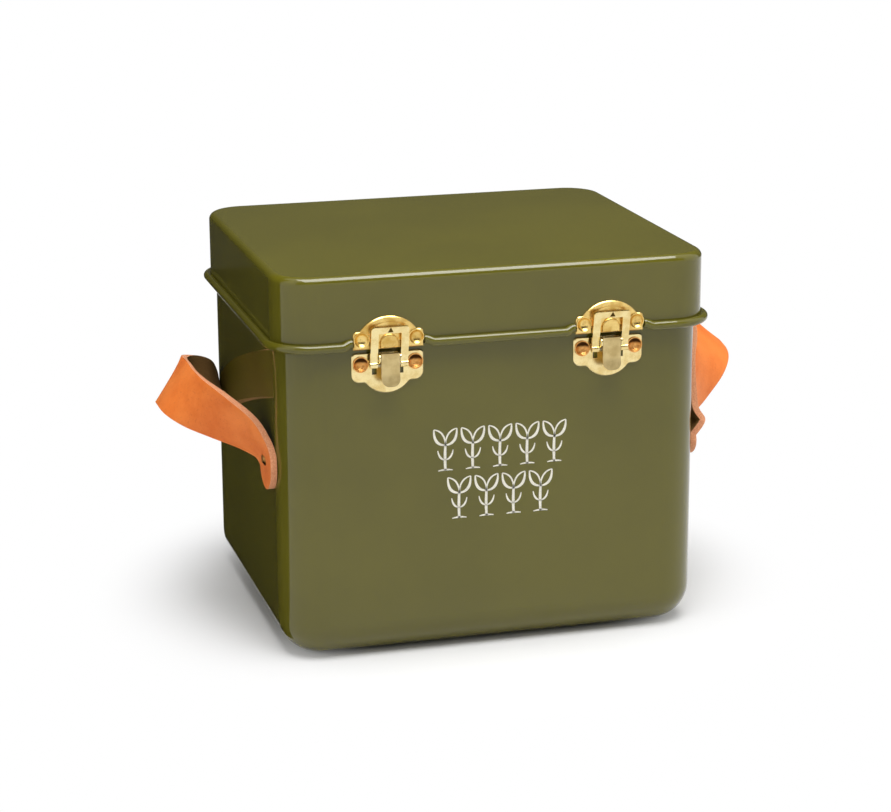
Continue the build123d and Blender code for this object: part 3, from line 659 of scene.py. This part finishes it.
def floor_finish():
    """Pale matt board under the box, which turns into the white room further away."""
    finish = Finish("studio_floor")
    distance = finish.node("ShaderNodeVectorMath", {"operation": "LENGTH"}, {0: finish.place()}, output=1)
    board = finish.node("ShaderNodeBsdfDiffuse", None, {"Color": FLOOR_BOARD})
    white = finish.node("ShaderNodeEmission", None, {"Strength": 1.0})
    far = looked_at(finish) * finish.step(distance, *FLOOR_FADE)
    mixed = finish.node("ShaderNodeMixShader", None, {0: far, 1: board, 2: white})
    finish.node("ShaderNodeOutputMaterial", None, {"Surface": mixed})
    return finish.material


def plain_light(name, level, level_on_left=None, fade=(0.0, 1.0)):
    """A card that is seen in the gloss at its own level, whatever the lamps do; it may fade along X."""
    finish = Finish(name)
    strength = level
    if level_on_left is not None:
        across = finish.node("ShaderNodeSeparateXYZ", None, {0: finish.place()}, output="X")
        strength = level_on_left + (level - level_on_left) * finish.step(across, *fade)
    glow = finish.node("ShaderNodeEmission", None, {"Strength": strength})
    finish.node("ShaderNodeOutputMaterial", None, {"Surface": glow})
    return finish.material


card("floor", (-6, -6, 0), (12, 0, 0), (0, 12, 0), floor_finish(), reflected_only=False)
print("floor ready")

# %% Dark cards and lamps
card("card_behind", (-1.2, 0.75, 0), (3.4, 0, 0), (0, 0, 1.6),
     plain_light("dim_behind", 0.085, 0.01, (-0.40, 0.04)))
card("card_left", (-0.95, 0.0, 0), (0, 1.2, 0), (0, 0, 1.6), plain_light("dark_left", 0.01))
card("card_on_floor", (-0.1, -0.07, 0.0005), (-1.1, 0.165, 0), (0, 1.0, 0), plain_light("dark_floor", 0.01))
card("card_in_front", (-1.8, -1.5, 0.70), (3.6, 0, 0), (0, 0, 1.82), plain_light("dark_front", 0.03))


def softbox(name, place, aim, size, level, mirrored_too=True):
    """A square lamp; level 1 lights a surface that faces it, at its aim, as its colour is written."""
    lamp = bpy.data.lights.new(name, "AREA")
    lamp.shape = "SQUARE"
    lamp.size = size
    distance = (Vector(place) - Vector(aim)).length
    lamp.energy = level * (math.pi * distance) ** 2
    made = bpy.data.objects.new(name, lamp)
    made.location = place
    made.rotation_euler = (Vector(aim) - Vector(place)).to_track_quat("-Z", "Y").to_euler()
    made.visible_glossy = mirrored_too
    bpy.context.scene.collection.objects.link(made)


softbox("lamp_above", (0.05, -0.30, 1.15), (0.05, -0.30, 0.18), 0.85, 1.90)
softbox("lamp_left", (-1.6, -0.8, 0.9), (0, 0, 0.1), 1.0, 0.22, mirrored_too=False)
softbox("lamp_right", (1.6, -0.35, 0.75), (0.1, 0, 0.1), 0.8, 0.25, mirrored_too=False)
print("stage and lamps ready")

# %% [markdown]
# ## The camera
# The camera stands in front and a little to the left, slightly above the lid.  It is placed by its
# angle round the box, its angle above the floor and its distance.

# %% Place the camera
AZIMUTH = math.radians(-15.65)
ELEVATION = math.radians(15.642)
ROLL = -0.0042
DISTANCE = 1.24173
TARGET = Vector((0, 0, 0.09025))
SENSOR_WIDTH = 36
IMAGE_WIDTH = 891  # in points of the picture, and so is the focal length
FOCAL_LENGTH = 2538.8
LENS_SHIFT = (-0.0020, 0.0047)
towards_camera = Vector((math.sin(AZIMUTH) * math.cos(ELEVATION),
                         -math.cos(AZIMUTH) * math.cos(ELEVATION), math.sin(ELEVATION)))
lens = bpy.data.cameras.new("camera")
lens.sensor_width = SENSOR_WIDTH
lens.lens = SENSOR_WIDTH * FOCAL_LENGTH / IMAGE_WIDTH
lens.shift_x, lens.shift_y = LENS_SHIFT
camera = bpy.data.objects.new("camera", lens)
camera.location = TARGET + towards_camera * DISTANCE
aimed = (-towards_camera).to_track_quat("-Z", "Y")
camera.rotation_euler = (aimed @ Quaternion((0, 0, 1), ROLL)).to_euler()
bpy.context.scene.collection.objects.link(camera)
bpy.context.scene.camera = camera
bpy.context.scene.view_settings.view_transform = "Standard"
print("camera at", [round(v, 3) for v in camera.location])
